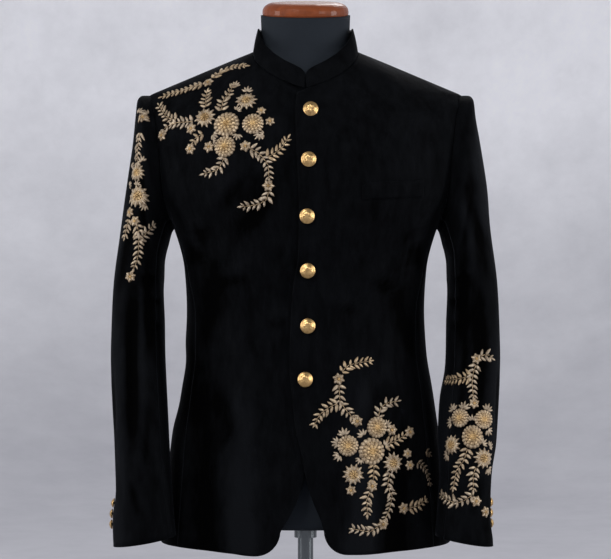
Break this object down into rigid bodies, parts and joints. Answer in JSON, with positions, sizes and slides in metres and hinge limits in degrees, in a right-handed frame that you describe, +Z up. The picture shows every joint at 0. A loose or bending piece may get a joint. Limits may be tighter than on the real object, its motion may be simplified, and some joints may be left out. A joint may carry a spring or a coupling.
{
  "type": "bandhgala jacket on a dress form",
  "caption": "Velvet bandhgala jacket with a standing collar, domed buttons and gold thread embroidery, on a limbless dress form with a round base.",
  "frame": {"origin": "middle of the underside of the stand's round base", "axes": "+Z up along the pole, -Y out of the jacket's front, +X towards the wearer's left"},
  "size_m": [0.543, 0.36, 1.008],
  "materials": {
    "velvet": "black cotton velvet with a soft nap",
    "antique_gold": "antique gold, stamped and slightly worn",
    "form_cloth": "dark slate grey plain jersey",
    "varnished_wood": "reddish brown, glossy varnish",
    "chrome": "polished",
    "powder_coat": "black satin powder coat"
  },
  "bodies": {
    "root": {"front_left": "velvet", "front_right": "velvet", "side_left": "velvet", "side_right": "velvet", "back_left": "velvet", "back_right": "velvet", "sleeve_top_left": "velvet", "sleeve_under_left": "velvet", "sleeve_top_right": "velvet", "sleeve_under_right": "velvet", "collar": "velvet", "breast_welt": "velvet", "button_front_1": "antique_gold", "button_front_2": "antique_gold", "button_front_3": "antique_gold", "button_front_4": "antique_gold", "button_front_5": "antique_gold", "button_front_6": "antique_gold", "button_cuff_left_1": "antique_gold", "button_cuff_left_2": "antique_gold", "button_cuff_left_3": "antique_gold", "button_cuff_right_1": "antique_gold", "button_cuff_right_2": "antique_gold", "button_cuff_right_3": "antique_gold", "form_torso": "form_cloth", "form_cap": "varnished_wood", "form_flange": "chrome", "stand_pole": "chrome", "stand_base": "powder_coat"}
  },
  "joints": []
}
